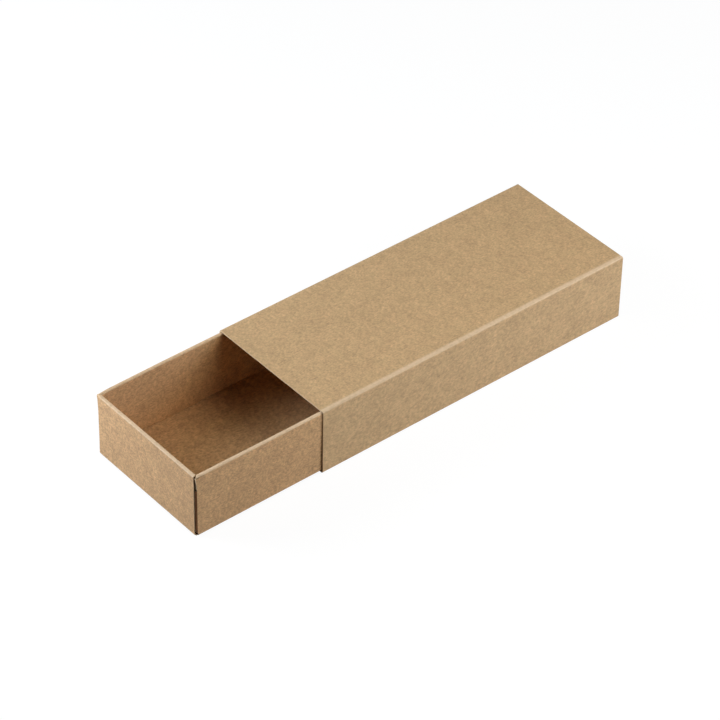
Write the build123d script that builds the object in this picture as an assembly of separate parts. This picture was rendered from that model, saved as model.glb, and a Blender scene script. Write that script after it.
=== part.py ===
from build123d import *
import os

# A sliding drawer gift box in plain kraft card, in millimetres.
# A sleeve folded from one card is open at both ends. A tray folded from a second card slides
# through it. Every wall of the tray is rolled over double, and locks into slots in its base.
# The long walls end in corner flaps, which are caught between the layers of the end walls.
# The origin is the centre of the sleeve's underside. X runs across the box, Y along it and Z up.
# The tray is drawn out towards -Y.

# Card
card = 0.45  # thickness of the card that sleeve and tray are cut from
ply_gap = 0.1  # air between two layers of card that lie against each other

# Sleeve
sleeve_width = 70.0
sleeve_height = 33.4
sleeve_length = 170.0
sleeve_crease = 0.8  # outer radius of the four long folds
seam_set_back = 0.5  # from the sleeve's side to the raw edge that shows at the seam
glue_flap_width = 14.0  # the fold that it hangs on included
glue_flap_end = 1.5  # how far the flap starts short of the sleeve's end
glue_flap_taper = 4.0  # what its end slants back by, from the fold to its free edge
glue_thickness = 0.05
glue_margin = 1.5  # bare card round the glue

# Tray in the sleeve
side_clearance = 0.35  # on each side
top_clearance = 0.3
end_recess = 0.25  # how far each end of the shut tray stands inside the sleeve
drawn_out = 66.2  # how far the tray's front stands ahead of the sleeve's mouth

# Rolled walls of the tray
wall_width = 1.85  # across the rim
side_foot_width = 1.1  # across a long wall's foot, where its two layers of card meet
end_foot_width = 1.65  # across an end wall's foot, which holds the corner flaps as well
base_crease = 0.6  # outer radius of the folds round the base
rim_crease = 0.55  # outer radius of the two folds along each rim
foot_lift = 0.4  # from the base up to the inner panel's lower edge
mitre_gap = 0.12  # between the rims at the inner corner
base_run = 2.0  # how far the walls' sections run on into the base

# Corners of the tray
end_edge_inset = 1.15  # from the tray's side to the end panel's raw edge and its rim's corner
side_rim_set_back = 0.3  # from the tray's end to the corner of a long wall's rim
flap_crease = 0.5  # outer radius of the upright fold that carries a corner flap
flap_root = 2.0  # how far the flap's section runs back into the side panel, from the tray's end
flap_length = 24.0  # from the tray's side
flap_foot = 1.5  # from the base up to the flap's hinge line
flap_head = 7.0  # from the hinge line's top to the rim's fold
flap_taper = 4.0  # what the flap narrows by, above and below
side_edge_foot = 0.5  # further set back of the side panel at the base

# Lock tabs under the inner panels
tab_width = 20.0
tab_spacing = 86.0  # between the two tabs of a long wall
tab_recess = 0.05  # from the base's underside to the tab's end
tab_root = 2.0  # how far the tab's own body reaches up into the inner panel
slot_clearance = 0.1

# Sizes that follow
tray_half_width = sleeve_width / 2 - card - side_clearance
tray_half_length = sleeve_length / 2 - end_recess
flap_level = card + glue_thickness + card
tray_height = sleeve_height - card - top_clearance - flap_level
tray_front = -sleeve_length / 2 - drawn_out
tray_place = (0, tray_front + tray_half_length, flap_level)
inner_width = tray_half_width - wall_width
rim_level = tray_height - rim_crease
foot_level = card + foot_lift
hinge_low = card + flap_foot
hinge_high = rim_level - flap_head
beyond = 1.0  # what a cutting body stands past the card that it cuts


def folded_section(points, creases):
    """Section of a folded card whose middle line runs through the points.

    creases gives the outer radius of the fold at each inner point.
    """
    path = [Vector(*point) for point in points]
    steps = [(end - start).normalized() for start, end in zip(path, path[1:])]
    normals = [Vector(-step.Y, step.X) for step in steps]
    turns = [1 if a.cross(b).Z > 0 else -1 for a, b in zip(steps, steps[1:])]

    def face_line(side):
        shift = side * card / 2
        line = [path[0] + normals[0] * shift]
        for point, a, b in zip(path[1:-1], normals, normals[1:]):
            line.append(point + (a + b) * (shift / (1 + a.dot(b))))
        line.append(path[-1] + normals[-1] * shift)
        radii = [crease - card if turn == side else crease for turn, crease in zip(turns, creases)]
        return FilletPolyline(*line, radius=radii)

    left = face_line(1)
    right = face_line(-1)
    ends = [Line(left @ 0, right @ 0), Line(left @ 1, right @ 1)]
    return make_face(left.edges() + right.edges() + ends)


def prism(plane, points, start, end):
    """Block with the given outline in a plane, between two distances along its normal."""
    outline = plane * Pos(0, 0, start) * make_face(Polyline(*points, close=True))
    return extrude(outline, amount=end - start, dir=plane.z_dir)


def both_ends(body):
    """A cutting body together with its mirror image at the tray's other end."""
    return body + mirror(body, about=Plane.XZ)


def both_sides(body):
    return body + mirror(body, about=Plane.YZ)


def sleeve():
    """Four panels and a glue flap, folded from the flap round to the bottom panel."""
    side = sleeve_width / 2 - card / 2
    top = sleeve_height - card / 2
    points = [
        (glue_flap_width - sleeve_width / 2, flap_level - card / 2),
        (-side, flap_level - card / 2),
        (-side, top),
        (side, top),
        (side, card / 2),
        (seam_set_back - sleeve_width / 2, card / 2),
    ]
    section = folded_section(points, [sleeve_crease] * 4)
    tube = extrude(Plane.XZ * section, amount=sleeve_length / 2, both=True)

    fold = sleeve_crease - sleeve_width / 2
    free_edge = glue_flap_width - sleeve_width / 2
    end = -sleeve_length / 2
    slant = [
        (fold, end - beyond),
        (fold, end + glue_flap_end),
        (free_edge, end + glue_flap_end + glue_flap_taper),
        (free_edge + beyond, end + glue_flap_end + glue_flap_taper),
        (free_edge + beyond, end - beyond),
    ]
    return tube - both_ends(prism(Plane.XY, slant, card + glue_thickness / 2, flap_level + card))


def seam_glue():
    """Dried glue between the flap and the bottom panel, face to face with both."""
    start = sleeve_crease - sleeve_width / 2 + glue_margin
    end = glue_flap_width - sleeve_width / 2 - glue_margin
    length = sleeve_length - 2 * (glue_flap_end + glue_flap_taper + glue_margin)
    film = Box(end - start, length, glue_thickness, align=(Align.MIN, Align.CENTER, Align.MIN))
    return Pos(start, 0, card) * film


def inner_line(half_size, foot_width):
    """Middle line of a wall's inner panel, from the rim down to its lower edge."""
    rim = Vector(half_size - wall_width + card / 2, tray_height - card / 2)
    foot = Vector(half_size - foot_width + card / 2, foot_level)
    return rim, foot


def rolled_section(half_size, foot_width):
    """Section of a wall rolled over: base, outer panel, rim and inner panel."""
    outside = half_size - card / 2
    rim, foot = inner_line(half_size, foot_width)
    points = [
        (half_size - base_run, card / 2),
        (outside, card / 2),
        (outside, tray_height - card / 2),
        (rim.X, rim.Y),
        (foot.X, foot.Y),
    ]
    return folded_section(points, [base_crease, rim_crease, rim_crease])


def tab_section(half_size, foot_width):
    """Section of a lock tab, in line with the inner panel and from inside it to its own end."""
    rim, foot = inner_line(half_size, foot_width)
    down = (foot - rim).normalized()
    start = foot - down * tab_root
    end = foot + down * (foot_level - tab_recess)
    across = Vector(-down.Y, down.X) * (card / 2)
    return make_face(Polyline(start - across, end - across, end + across, start + across, close=True))


def slots(half_size, foot_width, places):
    """Slots for the lock tabs of the wall on the +X side, at the given places along Y."""
    width = card + 2 * slot_clearance
    middle = half_size - foot_width + card / 2
    depth = card + foot_lift / 2
    slot = Box(width, tab_width + 2 * slot_clearance, 2 * depth)
    return Part() + [Pos(middle, place, 0) * slot for place in places]


def rolled_wall(half_size, foot_width, half_run, places):
    """A rolled wall on the +X side, along Y, with its lock tabs at the given places."""
    section = Plane.XZ * rolled_section(half_size, foot_width)
    wall = extrude(section, amount=half_run, both=True) - slots(half_size, foot_width, places)
    tab = extrude(Plane.XZ * tab_section(half_size, foot_width), amount=tab_width / 2, both=True)
    return wall + [Pos(0, place, 0) * tab for place in places]


def long_wall_ends():
    """What is cut from the ends of the long wall on the +X side, apart from its corner flaps."""
    end = -tray_half_length
    behind_end_panel = end + card + ply_gap
    fold_start = behind_end_panel + flap_crease
    behind_flap = behind_end_panel + card + ply_gap
    between_layers = tray_half_width - card - ply_gap / 2
    outside = tray_half_width + beyond

    outer_panel = [
        (end - beyond, -beyond),
        (fold_start + side_edge_foot, -beyond),
        (fold_start, hinge_low),
        (fold_start, hinge_high),
        (end + side_rim_set_back, rim_level),
        (end + side_rim_set_back, tray_height + beyond),
        (end - beyond, tray_height + beyond),
    ]
    inner_panel = [
        (end - beyond, -beyond),
        (behind_flap, -beyond),
        (behind_flap, hinge_high),
        (end + mitre_gap + wall_width, rim_level),
        (end - beyond, rim_level),
    ]
    mitre = [
        (outside, end - beyond),
        (outside, end + side_rim_set_back),
        (tray_half_width, end + side_rim_set_back),
        (inner_width, end + mitre_gap + wall_width),
        (inner_width - beyond, end + mitre_gap + wall_width + beyond),
        (inner_width - beyond, end - beyond),
    ]
    base_corner = [
        (tray_half_width - base_run - beyond, end - beyond),
        (tray_half_width - base_run - beyond, end + base_crease),
        (outside, end + base_crease),
        (outside, end - beyond),
    ]
    cut = prism(Plane.YZ, outer_panel, between_layers, outside)
    cut += prism(Plane.YZ, inner_panel, inner_width - beyond, between_layers)
    cut += prism(Plane.XY, mitre, rim_level, tray_height + beyond)
    cut += prism(Plane.XY, base_corner, -beyond, card + ply_gap / 2)
    return both_ends(cut)


def end_wall_sides():
    """What is cut from both sides of the end wall on the -Y side."""
    end = -tray_half_length
    panel_edge = tray_half_width - end_edge_inset
    inner_rim_edge = inner_width - ply_gap
    inner_foot_edge = tray_half_width - side_foot_width - ply_gap
    outside = tray_half_width + beyond
    between_layers = tray_half_length - card - ply_gap / 2

    mitre = [
        (panel_edge, end - beyond),
        (panel_edge, end),
        (inner_width, end + wall_width),
        (inner_width - beyond, end + wall_width + beyond),
        (outside, end + wall_width + beyond),
        (outside, end - beyond),
    ]
    outer_panel = [
        (panel_edge, -beyond),
        (panel_edge, tray_height + beyond),
        (outside, tray_height + beyond),
        (outside, -beyond),
    ]
    inner_panel = [
        (inner_foot_edge, card + ply_gap / 2),
        (inner_foot_edge, foot_level),
        (inner_rim_edge, rim_level),
        (outside, rim_level),
        (outside, card + ply_gap / 2),
    ]
    base_corner = [
        (tray_half_width - base_crease, end - beyond),
        (tray_half_width - base_crease, end + base_run + beyond),
        (outside, end + base_run + beyond),
        (outside, end - beyond),
    ]
    cut = prism(Plane.XY, mitre, rim_level, tray_height + beyond)
    cut += prism(Plane.XZ, outer_panel, between_layers, tray_half_length + beyond)
    cut += prism(Plane.XZ, inner_panel, tray_half_length - wall_width - beyond, between_layers)
    cut += prism(Plane.XY, base_corner, -beyond, card + ply_gap / 2)
    return both_sides(cut)


def corner_flaps():
    """At the -Y end, the bands of both side panels that fold round into the end wall."""
    end = -tray_half_length
    side = tray_half_width - card / 2
    level = end + card + ply_gap + card / 2
    root = tray_half_width - flap_crease
    tip = tray_half_width - flap_length
    points = [(side, end + flap_root), (side, level), (tip, level)]
    section = Pos(0, 0, hinge_low) * folded_section(points, [flap_crease])
    band = extrude(section, amount=hinge_high - hinge_low)
    outline = [
        (tray_half_width + beyond, hinge_low),
        (root, hinge_low),
        (root - flap_taper, hinge_low + flap_taper),
        (tip - beyond, hinge_low + flap_taper),
        (tip - beyond, hinge_high - flap_taper),
        (root - flap_taper, hinge_high - flap_taper),
        (root, hinge_high),
        (tray_half_width + beyond, hinge_high),
    ]
    keep = prism(Plane.XZ, outline, tray_half_length - flap_root - beyond, tray_half_length)
    return both_sides(band & keep)


def tray():
    """Base, two long walls with their corner flaps and two end walls, all one folded card."""
    base = Box(
        2 * (tray_half_width - base_crease),
        2 * (tray_half_length - base_crease),
        card,
        align=(Align.CENTER, Align.CENTER, Align.MIN),
    )
    places = [-tab_spacing / 2, tab_spacing / 2]
    half_run = tray_half_length - side_rim_set_back
    long_wall = rolled_wall(tray_half_width, side_foot_width, half_run, places)
    long_wall -= long_wall_ends()
    base -= both_sides(slots(tray_half_width, side_foot_width, places))

    turned = Rot(0, 0, -90)
    end_wall = turned * rolled_wall(tray_half_length, end_foot_width, tray_half_width, [0])
    end_wall -= end_wall_sides()
    base -= both_ends(turned * slots(tray_half_length, end_foot_width, [0]))

    long_walls = both_sides(long_wall) + both_ends(corner_flaps())
    return Pos(*tray_place) * (base + long_walls + both_ends(end_wall))


os.makedirs("parts", exist_ok=True)
export_step(sleeve(), "parts/sleeve.step")
export_step(seam_glue(), "parts/seam_glue.step")
export_step(tray(), "parts/tray.step")
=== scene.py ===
"""Looks of a kraft card sliding drawer gift box: a sleeve, its glue seam and a tray.

Both cards are fine copies of the frame's solids, dressed in kraft card. The glue keeps its solid.
Lengths here are in millimetres and angles in degrees, and become Blender's where they are used.
"""

import math

import bmesh
import bpy
import numpy as np
from mathutils import Matrix, Vector
from mathutils.bvhtree import BVHTree

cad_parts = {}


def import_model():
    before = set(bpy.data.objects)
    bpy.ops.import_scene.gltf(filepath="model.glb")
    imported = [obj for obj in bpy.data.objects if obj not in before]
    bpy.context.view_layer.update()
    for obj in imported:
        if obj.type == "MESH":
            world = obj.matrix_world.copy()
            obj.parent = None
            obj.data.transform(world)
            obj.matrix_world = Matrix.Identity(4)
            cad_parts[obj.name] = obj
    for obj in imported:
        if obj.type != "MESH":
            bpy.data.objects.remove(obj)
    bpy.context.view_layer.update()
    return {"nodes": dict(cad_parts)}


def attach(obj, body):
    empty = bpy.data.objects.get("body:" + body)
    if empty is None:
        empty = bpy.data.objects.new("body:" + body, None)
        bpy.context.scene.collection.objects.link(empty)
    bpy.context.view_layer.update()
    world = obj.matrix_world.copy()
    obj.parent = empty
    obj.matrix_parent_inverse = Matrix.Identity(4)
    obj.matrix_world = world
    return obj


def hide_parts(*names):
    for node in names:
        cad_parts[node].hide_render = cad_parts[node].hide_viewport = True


MM = 0.001

# Sizes and places of the solids
CARD = 0.45
SLEEVE_HALF = 35.0
SLEEVE_TOP = 33.4
SLEEVE_FRONT = -85.0
TRAY_HALF = 34.2
TRAY_FRONT = -151.2
TRAY_BACK = 18.3
TRAY_BASE = 0.95
TRAY_TOP = 32.65
FLAP_TOP = 25.1  # where the line that the tray's corner flaps hang on ends

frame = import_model()


# ---------------------------------------------------------------- fine copies of the cards

WELD = 0.002  # points this near each other are one
ON_PLANE = 0.004  # points this near a dividing plane lie on it
FLAT = 0.5  # faces that meet at less than this angle are one
SHARP = 35.0  # edges that turn more than this stay sharp


def smooth(low, high, value):
    """0 below low and 1 above high, with a soft step between. low may be the larger one."""
    t = np.clip((value - low) / (high - low), 0, 1)
    return t * t * (3 - 2 * t)


def steps(start, stop, step):
    return [start + k * step for k in range(int((stop - start) / step) + 1)]


def both(values):
    """Each value, followed by its negative."""
    return [v for value in values for v in (value, -value)]


def fine_copy(node, name, cuts):
    """A copy of a CAD node's mesh, welded at its seams and divided by planes across X, Y and Z."""
    mesh = bpy.data.meshes.new(name)
    bm = bmesh.new()
    bm.from_mesh(frame["nodes"][node].data)
    for layer in list(bm.loops.layers.uv):
        bm.loops.layers.uv.remove(layer)
    bmesh.ops.remove_doubles(bm, verts=bm.verts, dist=WELD * MM)
    bmesh.ops.dissolve_limit(bm, angle_limit=math.radians(FLAT), verts=bm.verts, edges=bm.edges)
    for axis, places in enumerate(cuts):
        normal = Vector([float(k == axis) for k in range(3)])
        for place in places:
            bmesh.ops.bisect_plane(
                bm,
                geom=bm.verts[:] + bm.edges[:] + bm.faces[:],
                dist=ON_PLANE * MM,
                plane_co=normal * place * MM,
                plane_no=normal,
            )
    bmesh.ops.triangulate(bm, faces=[f for f in bm.faces if len(f.verts) > 4])
    bm.to_mesh(mesh)
    bm.free()
    piece = bpy.data.objects.new(name, mesh)
    bpy.context.scene.collection.objects.link(piece)
    return piece


def points_of(piece):
    flat = np.empty(len(piece.data.vertices) * 3)
    piece.data.vertices.foreach_get("co", flat)
    return flat.reshape(-1, 3) / MM


def move_points(piece, points):
    piece.data.vertices.foreach_set("co", (points * MM).ravel())
    piece.data.update()


def keep_value(piece, name, values):
    """Keeps a value for each vertex, which the card's material reads by that name."""
    attribute = piece.data.attributes.new(name, "FLOAT", "POINT")
    attribute.data.foreach_set("value", values.astype(np.float32))


def mark_cut_edges(piece, slot):
    """Gives the material slot to the faces that the die cut.

    Under a face of the liner, a ray soon leaves the card on its other side. Under a cut edge it
    runs on inside the card.
    """
    start_depth, longest = 0.02, 5.0
    through_card = 2.2 * CARD
    bm = bmesh.new()
    bm.from_mesh(piece.data)
    tree = BVHTree.FromBMesh(bm)
    for face in bm.faces:
        inward = -face.normal
        start = face.calc_center_median() + inward * start_depth * MM
        place, _, _, depth = tree.ray_cast(start, inward, longest * MM)
        if place is None or depth > through_card * MM:
            face.material_index = slot
    bm.to_mesh(piece.data)
    bm.free()


def soft_shading(piece):
    piece.data.shade_smooth()
    piece.data.set_sharp_from_angle(angle=math.radians(SHARP))


# ---------------------------------------------------------------- materials


class Graph:
    """The nodes of a material or a world. An input takes a socket to link, or a value to set."""

    def __init__(self, owner):
        self.owner = owner
        owner.use_nodes = True
        self.tree = owner.node_tree
        self.tree.nodes.clear()

    def node(self, kind, inputs=None, **settings):
        """Adds a node. Its inputs go by name or by number."""
        made = self.tree.nodes.new("ShaderNode" + kind)
        for key, value in settings.items():
            setattr(made, key, value)
        for key, value in (inputs or {}).items():
            if isinstance(value, bpy.types.NodeSocket):
                self.tree.links.new(value, made.inputs[key])
            else:
                made.inputs[key].default_value = value
        return made

    def math(self, operation, *values):
        return self.node("Math", dict(enumerate(values)), operation=operation).outputs[0]

    def span(self, value, low, high, to_low=0.0, to_high=1.0):
        """value from low to high becomes to_low to to_high, clamped."""
        names = ["Value", "From Min", "From Max", "To Min", "To Max"]
        inputs = dict(zip(names, (value, low, high, to_low, to_high)))
        return self.node("MapRange", inputs, clamp=True).outputs["Result"]

    def mix(self, factor, a, b, blend="MIX"):
        """Mixes two colours."""
        a, b = (v if isinstance(v, bpy.types.NodeSocket) else (*v, 1.0) for v in (a, b))
        inputs = {0: factor, 6: a, 7: b}
        return self.node("Mix", inputs, data_type="RGBA", blend_type=blend).outputs[2]

    def scaled(self, colour, light):
        inputs = {0: colour, "Scale": light}
        return self.node("VectorMath", inputs, operation="SCALE").outputs[0]

    def place(self, shift=(0.0, 0.0, 0.0)):
        """The point on the piece in millimetres, moved by the shift."""
        metres = self.node("TexCoord").outputs["Object"]
        inputs = {0: metres, 1: (1 / MM,) * 3, 2: shift}
        return self.node("VectorMath", inputs, operation="MULTIPLY_ADD").outputs[0]

    def noise(self, place, scale, detail, stretch=(1, 1, 1), turn=(0, 0, 0), warp=0.0):
        """Noise about 1 / scale millimetres wide, wider along an axis whose stretch is under 1."""
        inputs = {"Vector": place, "Rotation": turn, "Scale": stretch}
        at = self.node("Mapping", inputs).outputs[0]
        inputs = {"Vector": at, "Scale": scale, "Detail": detail, "Distortion": warp}
        return self.node("TexNoise", inputs).outputs[0]

    def kept(self, name):
        """The value that keep_value kept, or 0 where a piece has none."""
        return self.node("Attribute", attribute_name=name).outputs["Fac"]

    def bump(self, height, strength, distance):
        inputs = {"Strength": strength, "Distance": distance * MM, "Height": height}
        return self.node("Bump", inputs).outputs[0]

    def principled(self, inputs):
        """Ends the material with a Principled shader and returns the material."""
        shader = self.node("BsdfPrincipled", inputs).outputs[0]
        self.node("OutputMaterial", {"Surface": shader})
        return self.owner

    def seen(self):
        """1 for the rays of the camera, of mirrors and of glass, 0 for those that bring light."""
        rays = self.node("LightPath").outputs
        either = self.math("MAXIMUM", rays["Is Camera Ray"], rays["Is Glossy Ray"])
        return self.math("MAXIMUM", either, rays["Is Transmission Ray"])


SLEEVE_TONE = (0.57, 0.375, 0.197)
TRAY_TONE = (0.552, 0.330, 0.163)
# The pale stripes on folds and rims, partly wear and partly a painted highlight
WEAR_AND_HIGHLIGHT_TONE = (0.80, 0.60, 0.40)
EDGE_TONE = (0.64, 0.47, 0.29)
GLUE_TONES = ((0.62, 0.56, 0.43), (0.76, 0.72, 0.61))
PALE, DARK = 1.30, 0.50  # pale and dark fibres and specks, as multiples of the card's tone
WARM, COOL = (1.008, 0.995, 1.0), (0.992, 1.005, 1.0)
PAINTED_HOLLOW_SHADE = (0.30, 0.20, 0.13)  # painted shade: what is left of the card's colour in the hollows at the slits
GAP_SHADE = (0.16, 0.08, 0.04)  # what is left of a cut edge's colour in the gap around the tray


def kraft(name, tone, contrast, shift=(0.0, 0.0, 0.0)):
    """Kraft card: cloudy pulp, fine grain, pale and dark fibres, specks, paler folds that are
    partly worn and partly a painted highlight, and painted shade in hollows.

    The card's grain runs along Y. The shift keeps two cards' patterns apart.
    """
    g = Graph(bpy.data.materials.new(name))
    place = g.place(shift)

    def swing(value, amount):
        """1 on average, up or down by the amount as the noise goes, which is mostly mid-range."""
        return g.span(value, 0.25, 0.75, 1 - amount * contrast, 1 + amount * contrast)

    def specks(scale, radius, share, offset):
        """Round specks of that radius, in the given share of a pattern's cells."""
        at = g.node("VectorMath", {0: place, 1: offset}, operation="ADD").outputs[0]
        cells = g.node("TexVoronoi", {"Vector": at, "Scale": scale})
        chance = g.node("SeparateColor", {0: cells.outputs["Color"]}).outputs[0]
        spot = g.span(cells.outputs["Distance"], radius * scale, 0.4 * radius * scale)
        return g.math("MULTIPLY", spot, g.math("LESS_THAN", chance, share))

    # Clouds in the pulp, from wide to fine, and the fibres that lie in three directions
    cloud = g.noise(place, 0.07, 2.0)
    patch = g.noise(place, 0.24, 1.0)
    mottle = g.noise(place, 0.62, 2.0)
    grain = g.noise(place, 1.5, 2.0, stretch=(1.0, 0.6, 1.0))
    lean = math.radians(38)
    fibres = [
        g.noise(place, 1.5, 1.0, stretch=(1.0, thin, 1.0), turn=turn, warp=0.6)
        for thin, turn in (
            (0.16, (0.0, 0.0, 0.0)),
            (0.14, (lean, 0.3, lean)),
            (0.14, (-lean, 0.8, -lean)),
        )
    ]
    pale_fibre = g.span(g.math("MAXIMUM", fibres[0], fibres[1]), 0.66, 0.78)
    dark_fibre = g.span(g.math("MINIMUM", fibres[0], fibres[2]), 0.33, 0.22)

    # How light the card is at each place, 1 on average
    light = swing(cloud, 0.035)
    for layer, amount in ((patch, 0.055), (mottle, 0.10), (grain, 0.17)):
        light = g.math("MULTIPLY", light, swing(layer, amount))
    hue = g.span(g.noise(place, 0.17, 3.0), 0.3, 0.7)
    colour = g.mix(1.0, g.scaled(tone, light), g.mix(hue, WARM, COOL), blend="MULTIPLY")

    pale = tuple(PALE * c for c in tone)
    dark = tuple(DARK * c for c in tone)
    for where, strength, other in (
        (pale_fibre, 0.45, pale),
        (dark_fibre, 0.35, dark),
        (specks(0.42, radius=0.34, share=0.26, offset=(3.0, 7.0, 1.0)), 0.4, dark),
        (specks(0.36, radius=0.38, share=0.30, offset=(9.0, 2.0, 5.0)), 0.7, pale),
    ):
        colour = g.mix(g.math("MULTIPLY", where, strength), colour, other)

    # The liner is paler where the card is folded: partly rubbed wear, partly a painted highlight
    # on the folds that face the light
    worn_and_highlit = g.math("MULTIPLY", g.kept("fold_wear_and_highlight"), g.span(mottle, 0.3, 0.7, 0.7, 1.0))
    colour = g.mix(worn_and_highlit, colour, WEAR_AND_HIGHLIGHT_TONE)
    # Painted shade in the hollows at the slits, and beside the near cut edge at the mouth
    colour = g.mix(g.kept("painted_shade_amount"), colour, PAINTED_HOLLOW_SHADE, blend="MULTIPLY")

    height = g.math("ADD", g.math("MULTIPLY", grain, 0.6), g.math("MULTIPLY", fibres[0], 0.6))
    return g.principled(
        {
            "Base Color": colour,
            "Roughness": g.span(mottle, 0.2, 0.8, 0.74, 0.88),
            "Normal": g.bump(height, strength=0.18, distance=0.05),
            "Specular IOR Level": 0.3,
            "IOR": 1.45,
        }
    )


def cut_edge(name):
    """The card's thickness where the die cut it: furry layers of pulp, paler than the liner."""
    g = Graph(bpy.data.materials.new(name))
    place = g.place()
    fluff = g.noise(place, 5.0, 3.0)
    patch = g.noise(place, 0.6, 2.0)
    light = g.math(
        "MULTIPLY", g.span(fluff, 0.25, 0.75, 0.86, 1.14), g.span(patch, 0.3, 0.7, 0.94, 1.06)
    )
    # Painted shade where the cut edge stands in the gap around the tray
    colour = g.mix(g.kept("painted_shade_amount"), g.scaled(EDGE_TONE, light), GAP_SHADE, blend="MULTIPLY")
    return g.principled(
        {
            "Base Color": colour,
            "Roughness": g.span(fluff, 0.2, 0.8, 0.85, 0.97),
            "Normal": g.bump(fluff, strength=0.6, distance=0.06),
            "Specular IOR Level": 0.2,
        }
    )


def dried_glue(name):
    """Dried white glue: milky, a little yellow, streaked along the seam."""
    g = Graph(bpy.data.materials.new(name))
    streak = g.noise(g.place(), 1.0, 3.0, stretch=(0.9, 0.16, 0.9))
    return g.principled(
        {
            "Base Color": g.mix(g.span(streak, 0.3, 0.7), *GLUE_TONES),
            "Roughness": g.span(streak, 0.3, 0.7, 0.35, 0.55),
            "Normal": g.bump(streak, strength=0.4, distance=0.03),
        }
    )


# ---------------------------------------------------------------- the sleeve


def sleeve():
    # The planes beside the folds hold the soft sides of their pale stripes of wear and painted
    # highlight, and the first one along Y keeps the painted shade of the cut edge at the mouth
    from_fold = [0.8, 1.4, 1.95, 2.5]
    across = both([SLEEVE_HALF - d for d in from_fold])
    along = [SLEEVE_FRONT + 0.25] + steps(-76, 76, 19.0)
    up = from_fold + [SLEEVE_TOP - d for d in from_fold]
    piece = fine_copy("sleeve", "sleeve_card", [across, along, up])
    x, y, z = points_of(piece).T

    # A pale stripe on the near fold at the top, partly wear and mostly a painted highlight where
    # that fold faces the light, and only a little wear on the other folds
    near_fold_highlight_and_wear = np.where((x > 0) & (z > SLEEVE_TOP / 2), 0.85, 0.06)
    from_side = SLEEVE_HALF - np.abs(x)
    from_flat = np.minimum(SLEEVE_TOP - z, z)
    keep_value(piece, "fold_wear_and_highlight", near_fold_highlight_and_wear * smooth(2.5, 1.4, from_side) * smooth(0.9, 0.1, from_flat))

    # Painted shade on the near wall's cut edge at the mouth, standing in for the shade of the gap
    # around the tray, more so low down
    painted_gap_shade = (y < SLEEVE_FRONT + 0.1) & (x > SLEEVE_HALF - 0.6)
    keep_value(piece, "painted_shade_amount", np.where(painted_gap_shade, 0.95 - 0.45 * z / SLEEVE_TOP, 0.0))
    return piece


# ---------------------------------------------------------------- the tray

WALL_BOW = 0.29  # all that the sleeve leaves room for
MITRE_SLOPE = 0.902  # of the line where two rims meet, along Y for each step along X
BLUNT_TOWARDS = (0.647, 0.763)  # in X and Y, from the far front corner into the box


def from_end(y):
    """How far in from the nearer end of the tray."""
    return np.minimum(y - TRAY_FRONT, TRAY_BACK - y)


def wear_and_highlight_places(points):
    """Pale stripes on the rims, partly wear and partly a painted highlight, the far rim less so,
    and a little wear at the folds of the base.
    """
    x, y, z = points.T
    rim = 0.85 - 0.35 * smooth(TRAY_HALF - 4, TRAY_HALF - 2, -x)
    rim *= smooth(0.6, 0.15, TRAY_TOP - z)
    inward = np.minimum(TRAY_HALF - np.abs(x), from_end(y))
    base_fold = smooth(1.3, 0.4, z - TRAY_BASE) * smooth(1.3, 0.4, inward)
    return np.maximum(rim, 0.2 * base_fold)


def painted_shade_places(points):
    """Painted shade on the corner flaps, and on the faces behind them that close each end wall's
    hollow.
    """
    x, y, z = points.T
    end = from_end(y)
    # A flap lies 0.5 to 1 in from the end, and the inner panel's hidden face 1.4
    flap = (end > 0.5) & (z < FLAP_TOP + 0.05) & (z > TRAY_BASE + 1.0) & (np.abs(x) > 9.0)
    behind = (end > 1.3) & (end < 1.5) & (z < TRAY_TOP - 0.5)
    return np.where(behind, 1.0, np.where(flap, smooth(1.08, 0.8, end), 0.0))


def bow_walls(points):
    """Bows the long walls out, most at the rim and in the middle of their length."""
    x, y, z = points.T
    height = np.clip((z - TRAY_BASE) / (TRAY_TOP - TRAY_BASE), 0, 1)
    bow = WALL_BOW * smooth(0, 45, from_end(y)) * smooth(24, 32, np.abs(x))
    points[:, 0] += np.sign(x) * bow * smooth(0.04, 1.0, height)


def close_far_corner(points):
    """Presses the rims together where they meet at the far front corner."""
    x, y, z = points.T
    side, front = x + TRAY_HALF, y - TRAY_FRONT
    corner = (side < 1.9) & (front < 2.2)  # a rim's width and a little more
    on_front_rim = front < 0.25 + MITRE_SLOPE * side
    # The front rim's points go to the mitre, which runs in from near the corner, and the side
    # rim's end makes room for them
    mitre = 0.08 + np.maximum(0, (front - 0.3) / MITRE_SLOPE)
    closing = (mitre - side) * smooth(TRAY_TOP - 4.0, TRAY_TOP - 0.6, z)
    points[:, 0] += np.where(corner & on_front_rim, closing, 0)
    room = 0.2 * smooth(1.2, 0.5, front)
    points[:, 1] += np.where(corner & ~on_front_rim & (z > FLAP_TOP + 0.1), room, 0)


def blunt_far_corner(points):
    """Blunts the far front corner, as if it had been knocked, most at its top."""
    x, y, z = points.T
    side, front = x + TRAY_HALF, y - TRAY_FRONT
    depth = smooth(8, 0.5, side) * smooth(8, 0.5, front) * (0.28 + 0.12 * smooth(0, 12, z))
    depth += 0.3 * smooth(4, 0, side) * smooth(4, 0, front) * smooth(TRAY_TOP - 5, TRAY_TOP, z)
    points[:, 0] += BLUNT_TOWARDS[0] * depth
    points[:, 1] += BLUNT_TOWARDS[1] * depth


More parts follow.
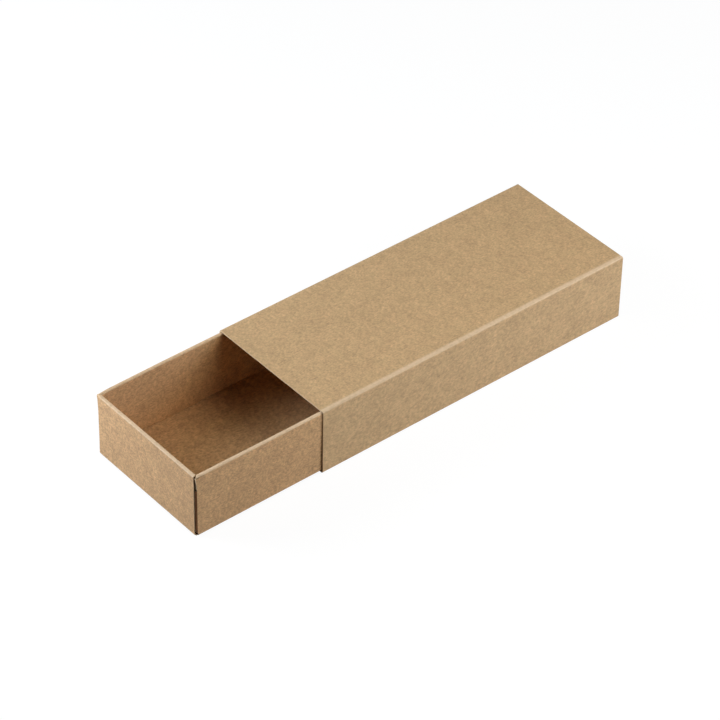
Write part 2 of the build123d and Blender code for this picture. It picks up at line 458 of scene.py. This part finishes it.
def tray():
    # The planes lie along the rims, the base's folds and the flaps' tops, and between them at
    # places where the walls bow
    across = both([TRAY_HALF - d for d in (0.55, 1.3, 1.85, 2.4, 3.2)])
    along = steps(TRAY_FRONT + 6, TRAY_BACK - 6, 7.0)
    up = [TRAY_BASE + 0.6, TRAY_BASE + 1.2, 8.0, 16.0, FLAP_TOP]
    up += [TRAY_TOP - d for d in (2.2, 1.2, 0.55)]
    piece = fine_copy("tray", "tray_card", [across, along, up])
    points = points_of(piece)
    # Pale stripes of wear and painted highlight, and painted shade in the hollows
    keep_value(piece, "fold_wear_and_highlight", wear_and_highlight_places(points))
    keep_value(piece, "painted_shade_amount", painted_shade_places(points))
    bow_walls(points)
    close_far_corner(points)
    blunt_far_corner(points)
    move_points(piece, points)
    return piece


# ---------------------------------------------------------------- the dressed part

sleeve_liner = kraft("kraft_card", SLEEVE_TONE, 1.12)
tray_liner = kraft("kraft_card_tray", TRAY_TONE, 1.55, shift=(61.0, 17.0, 33.0))
edge = cut_edge("kraft_cut_edge")

for name, body, made, liner in (
    ("sleeve", "sleeve", sleeve(), sleeve_liner),
    ("tray", "tray", tray(), tray_liner),
):
    made.data.materials.append(liner)
    made.data.materials.append(edge)
    mark_cut_edges(made, 1)
    soft_shading(made)
    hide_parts(name)
    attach(made, body)

glue = frame["nodes"]["seam_glue"]
glue.data.materials.clear()
glue.data.materials.append(dried_glue("dried_glue"))


# ---------------------------------------------------------------- camera, floor and light

# The photograph's view, fitted to the box's outlines and folds
VIEW = {"azimuth": 49.694, "elevation": 39.16, "roll": 1.098}
VIEW_TARGET = (-13.30, -24.58, 0.0)
VIEW_DISTANCE = 1460.9
FOCAL_PIXELS = 3335.7
PICTURE_PIXELS = 720
SENSOR = 36.0

FLOOR_HALF = 3000.0
FLOOR_DROP = 0.05  # so that the floor and the box's underside don't share a plane
FLOOR_GREY = 0.45
# What shows of the floor is mostly this white, and the rest is the lit floor with the shadow
FLOOR_WHITE, WHITE_SHARE = 1.195, 0.78
WORLD_WHITE = 0.8

# Soft lights, fitted to the brightness of each face and of the tray's inside:
# azimuth, elevation, distance, width, watts and tint
LAMPS = {
    "left_front": (-45, 20, 500, 340, 2.85, (0.90, 1.0, 1.16)),
    "left_high": (-45, 40, 500, 340, 0.33, (0.98, 1.0, 0.75)),
    "right_back": (135, 20, 750, 510, 2.75, (0.88, 1.0, 1.21)),
    "right_low": (105, 20, 500, 340, 0.27, (0.83, 1.0, 1.14)),
    "right": (105, 40, 500, 340, 0.54, (1.10, 1.0, 0.82)),
    "right_high": (135, 60, 500, 340, 0.58, (1.08, 1.0, 0.84)),
}
LIT_PLACE = (0.0, -30.0, 10.0)


def direction(azimuth, elevation):
    """Towards a viewer or lamp. Azimuth 0 is -Y and 90 is +X."""
    a, e = math.radians(azimuth), math.radians(elevation)
    return Vector((math.sin(a) * math.cos(e), -math.cos(a) * math.cos(e), math.sin(e)))


def camera():
    """At the photograph's angle, with a long lens, and rolled by about a degree."""
    back = direction(VIEW["azimuth"], VIEW["elevation"])
    level = Vector((0, 0, 1)).cross(back).normalized()
    upright = back.cross(level)
    roll = math.radians(VIEW["roll"])
    right = math.cos(roll) * level + math.sin(roll) * upright
    up = -math.sin(roll) * level + math.cos(roll) * upright
    data = bpy.data.cameras.new("camera")
    data.sensor_width = SENSOR
    data.lens = FOCAL_PIXELS / PICTURE_PIXELS * SENSOR
    data.clip_start, data.clip_end = 0.05, 20.0
    made = bpy.data.objects.new("camera", data)
    bpy.context.scene.collection.objects.link(made)
    place = Vector(VIEW_TARGET) * MM + back * VIEW_DISTANCE * MM
    turn = Matrix((right, up, back)).transposed()
    made.matrix_world = Matrix.Translation(place) @ turn.to_4x4()
    bpy.context.scene.camera = made


def floor():
    half, level = FLOOR_HALF * MM, -FLOOR_DROP * MM
    corners = [(-half, -half), (half, -half), (half, half), (-half, half)]
    mesh = bpy.data.meshes.new("floor")
    mesh.from_pydata([(x, y, level) for x, y in corners], [], [(0, 1, 2, 3)])
    made = bpy.data.objects.new("floor", mesh)
    bpy.context.scene.collection.objects.link(made)
    g = Graph(bpy.data.materials.new("floor_white"))
    lit = g.node("BsdfDiffuse", {"Color": (FLOOR_GREY,) * 3 + (1.0,)}).outputs[0]
    white = g.node("Emission", {"Color": (1.0,) * 4, "Strength": FLOOR_WHITE}).outputs[0]
    share = g.math("MULTIPLY", g.seen(), WHITE_SHARE)
    mixed = g.node("MixShader", {0: share, 1: lit, 2: white}).outputs[0]
    g.node("OutputMaterial", {"Surface": mixed})
    mesh.materials.append(g.owner)


def world():
    """White to look at, and dark to the object, which only the lamps light."""
    g = Graph(bpy.data.worlds.new("studio"))
    bpy.context.scene.world = g.owner
    inputs = {"Color": (WORLD_WHITE,) * 3 + (1.0,), "Strength": g.seen()}
    g.node("OutputWorld", {"Surface": g.node("Background", inputs).outputs[0]})


def softbox(name, azimuth, elevation, distance, width, watts, tint):
    """A square soft light that faces the box."""
    towards = direction(azimuth, elevation)
    data = bpy.data.lights.new(name, "AREA")
    data.shape = "SQUARE"
    data.size = width * MM
    data.energy = watts
    data.color = tint
    made = bpy.data.objects.new(name, data)
    bpy.context.scene.collection.objects.link(made)
    made.location = Vector(LIT_PLACE) * MM + towards * distance * MM
    made.rotation_mode = "QUATERNION"
    made.rotation_quaternion = towards.to_track_quat("Z", "Y")


bpy.context.scene.view_settings.view_transform = "Standard"
camera()
floor()
for key, values in LAMPS.items():
    softbox(key, *values)
world()
